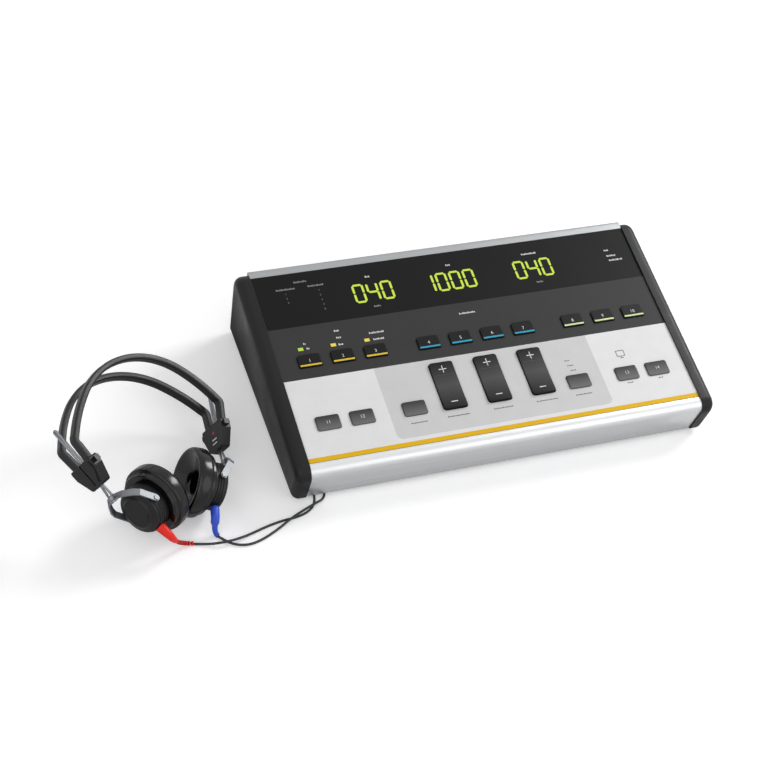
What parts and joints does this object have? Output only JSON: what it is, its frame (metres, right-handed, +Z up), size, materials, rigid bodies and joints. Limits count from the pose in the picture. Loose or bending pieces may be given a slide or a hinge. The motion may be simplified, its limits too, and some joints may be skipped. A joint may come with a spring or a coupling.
{
  "type": "audiometer",
  "caption": "Desktop audiometer: sloping console with keys, rocker keys and digit windows, headset with two cushioned earphones, red and blue leads",
  "frame": {"origin": "on the surface that the console stands on, midway between its cheeks", "axes": "+X to the right of the person at the keys, +Y to the rear of the console, +Z up"},
  "size_m": [0.6233, 0.313, 0.1071],
  "materials": {
    "case_steel": "fine matte",
    "satin_aluminium": "satin",
    "dark_plastic": "fine grain",
    "overlay_film": "printed semi-gloss film",
    "board": "solder mask",
    "switch_plastic": "moulded",
    "display_plastic": "tinted",
    "lamp_plastic": "translucent",
    "foot_rubber": "matte",
    "screw_steel": "zinc plated",
    "band_plastic": "semi-matte",
    "headset_chrome": "polished",
    "ear_plastic": "moulded",
    "cushion_rubber": "glossy rubber",
    "red_plug": "soft moulded",
    "blue_plug": "soft moulded",
    "lead_rubber": "smooth",
    "yellow_key": "silicone",
    "blue_key": "silicone",
    "green_key": "silicone",
    "grey_key": "silicone",
    "rocker_plastic": "silicone"
  },
  "bodies": {
    "console": {"base_plate": "case_steel", "rear_panel": "case_steel", "front_profile": "satin_aluminium", "rear_profile": "satin_aluminium", "left_cheek": "dark_plastic", "right_cheek": "dark_plastic", "top_panel": "case_steel", "overlay": "overlay_film", "keypad_board": "board", "main_board": "board", "tact_switches": "switch_plastic", "display_modules": "display_plastic", "status_leds": "lamp_plastic", "rear_sockets": "switch_plastic", "feet": "foot_rubber", "case_screws": "screw_steel", "power_switch_frame": "switch_plastic", "front_band": "band_plastic", "rear_band": "band_plastic", "left_block": "band_plastic", "left_lead": "lead_rubber", "left_coil": "lead_rubber", "left_jack": "red_plug", "right_block": "band_plastic", "right_lead": "lead_rubber", "right_coil": "lead_rubber", "right_jack": "blue_plug"},
    "key_left_a_body": {"key_left_a": "yellow_key"},
    "key_left_b_body": {"key_left_b": "yellow_key"},
    "key_left_c_body": {"key_left_c": "yellow_key"},
    "key_middle_a_body": {"key_middle_a": "blue_key"},
    "key_middle_b_body": {"key_middle_b": "blue_key"},
    "key_middle_c_body": {"key_middle_c": "blue_key"},
    "key_middle_d_body": {"key_middle_d": "blue_key"},
    "key_right_a_body": {"key_right_a": "green_key"},
    "key_right_b_body": {"key_right_b": "green_key"},
    "key_right_c_body": {"key_right_c": "green_key"},
    "key_lower_a_body": {"key_lower_a": "grey_key"},
    "key_lower_b_body": {"key_lower_b": "grey_key"},
    "key_lower_c_body": {"key_lower_c": "grey_key"},
    "key_lower_d_body": {"key_lower_d": "grey_key"},
    "key_lower_e_body": {"key_lower_e": "grey_key"},
    "key_lower_f_body": {"key_lower_f": "grey_key"},
    "rocker_left_body": {"rocker_left": "rocker_plastic"},
    "rocker_middle_body": {"rocker_middle": "rocker_plastic"},
    "rocker_right_body": {"rocker_right": "rocker_plastic"},
    "power_switch_body": {"power_switch": "switch_plastic"},
    "left_rod_body": {"left_rod": "headset_chrome"},
    "left_yoke_body": {"left_yoke": "headset_chrome"},
    "left_earphone_body": {"left_housing": "ear_plastic", "left_cap": "ear_plastic", "left_cushion": "cushion_rubber", "left_plug": "red_plug"},
    "right_rod_body": {"right_rod": "headset_chrome"},
    "right_yoke_body": {"right_yoke": "headset_chrome"},
    "right_earphone_body": {"right_housing": "ear_plastic", "right_cap": "ear_plastic", "right_cushion": "cushion_rubber", "right_plug": "blue_plug"}
  },
  "joints": [
    {"name": "key_left_a_press", "type": "slide", "parent": "console", "child": "key_left_a_body", "axis": [0, 0.1556, -0.9878], "range_m": [0, 0.001], "stiffness_N_per_m": 300},
    {"name": "key_left_b_press", "type": "slide", "parent": "console", "child": "key_left_b_body", "axis": [0, 0.1556, -0.9878], "range_m": [0, 0.001], "stiffness_N_per_m": 300},
    {"name": "key_left_c_press", "type": "slide", "parent": "console", "child": "key_left_c_body", "axis": [0, 0.1556, -0.9878], "range_m": [0, 0.001], "stiffness_N_per_m": 300},
    {"name": "key_middle_a_press", "type": "slide", "parent": "console", "child": "key_middle_a_body", "axis": [0, 0.1556, -0.9878], "range_m": [0, 0.001], "stiffness_N_per_m": 300},
    {"name": "key_middle_b_press", "type": "slide", "parent": "console", "child": "key_middle_b_body", "axis": [0, 0.1556, -0.9878], "range_m": [0, 0.001], "stiffness_N_per_m": 300},
    {"name": "key_middle_c_press", "type": "slide", "parent": "console", "child": "key_middle_c_body", "axis": [0, 0.1556, -0.9878], "range_m": [0, 0.001], "stiffness_N_per_m": 300},
    {"name": "key_middle_d_press", "type": "slide", "parent": "console", "child": "key_middle_d_body", "axis": [0, 0.1556, -0.9878], "range_m": [0, 0.001], "stiffness_N_per_m": 300},
    {"name": "key_right_a_press", "type": "slide", "parent": "console", "child": "key_right_a_body", "axis": [0, 0.1556, -0.9878], "range_m": [0, 0.001], "stiffness_N_per_m": 300},
    {"name": "key_right_b_press", "type": "slide", "parent": "console", "child": "key_right_b_body", "axis": [0, 0.1556, -0.9878], "range_m": [0, 0.001], "stiffness_N_per_m": 300},
    {"name": "key_right_c_press", "type": "slide", "parent": "console", "child": "key_right_c_body", "axis": [0, 0.1556, -0.9878], "range_m": [0, 0.001], "stiffness_N_per_m": 300},
    {"name": "key_lower_a_press", "type": "slide", "parent": "console", "child": "key_lower_a_body", "axis": [0, 0.1556, -0.9878], "range_m": [0, 0.001], "stiffness_N_per_m": 300},
    {"name": "key_lower_b_press", "type": "slide", "parent": "console", "child": "key_lower_b_body", "axis": [0, 0.1556, -0.9878], "range_m": [0, 0.001], "stiffness_N_per_m": 300},
    {"name": "key_lower_c_press", "type": "slide", "parent": "console", "child": "key_lower_c_body", "axis": [0, 0.1556, -0.9878], "range_m": [0, 0.001], "stiffness_N_per_m": 300},
    {"name": "key_lower_d_press", "type": "slide", "parent": "console", "child": "key_lower_d_body", "axis": [0, 0.1556, -0.9878], "range_m": [0, 0.001], "stiffness_N_per_m": 300},
    {"name": "key_lower_e_press", "type": "slide", "parent": "console", "child": "key_lower_e_body", "axis": [0, 0.1556, -0.9878], "range_m": [0, 0.001], "stiffness_N_per_m": 300},
    {"name": "key_lower_f_press", "type": "slide", "parent": "console", "child": "key_lower_f_body", "axis": [0, 0.1556, -0.9878], "range_m": [0, 0.001], "stiffness_N_per_m": 300},
    {"name": "rocker_left_tilt", "type": "hinge", "parent": "console", "child": "rocker_left_body", "pos_m": [-0.0443, -0.04414, 0.0517], "axis": [1, 0, 0], "range_deg": [-3.5, 3.5], "stiffness_Nm_per_rad": 0.3},
    {"name": "rocker_middle_tilt", "type": "hinge", "parent": "console", "child": "rocker_middle_body", "pos_m": [0.0005, -0.04414, 0.0517], "axis": [1, 0, 0], "range_deg": [-3.5, 3.5], "stiffness_Nm_per_rad": 0.3},
    {"name": "rocker_right_tilt", "type": "hinge", "parent": "console", "child": "rocker_right_body", "pos_m": [0.0453, -0.04414, 0.0517], "axis": [1, 0, 0], "range_deg": [-3.5, 3.5], "stiffness_Nm_per_rad": 0.3},
    {"name": "power_switch_tilt", "type": "hinge", "parent": "console", "child": "power_switch_body", "pos_m": [0.15, 0.112, 0.03], "axis": [0, 0, 1], "range_deg": [-16, 0]},
    {"name": "left_rod_slide", "type": "slide", "parent": "console", "child": "left_rod_body", "axis": [0.5127, -0.729, -0.4535], "range_m": [-0.001, 0.012], "deforming": ["left_lead"]},
    {"name": "left_swivel", "type": "hinge", "parent": "left_rod_body", "child": "left_yoke_body", "pos_m": [-0.37358, -0.10409, 0.05171], "axis": [0.5127, -0.729, -0.4535], "range_deg": [-12, 12], "deforming": ["left_lead"]},
    {"name": "left_tilt", "type": "hinge", "parent": "left_yoke_body", "child": "left_earphone_body", "pos_m": [-0.34751, -0.11082, 0.03797], "axis": [-0.3934, 0.27, -0.8788], "range_deg": [-1, 12], "deforming": ["left_lead"]},
    {"name": "right_rod_slide", "type": "slide", "parent": "console", "child": "right_rod_body", "axis": [-0.0616, -0.9646, -0.2566], "range_m": [-0.001, 0.004], "deforming": ["right_lead"]},
    {"name": "right_swivel", "type": "hinge", "parent": "right_rod_body", "child": "right_yoke_body", "pos_m": [-0.26214, -0.06411, 0.02368], "axis": [0.0616, 0.9646, 0.2566], "range_deg": [-12, 12], "deforming": ["right_lead"]},
    {"name": "right_tilt", "type": "hinge", "parent": "right_yoke_body", "child": "right_earphone_body", "pos_m": [-0.28015, -0.08838, 0.02376], "axis": [0.3567, -0.2614, 0.8969], "range_deg": [-10, 10], "deforming": ["right_lead"]}
  ]
}
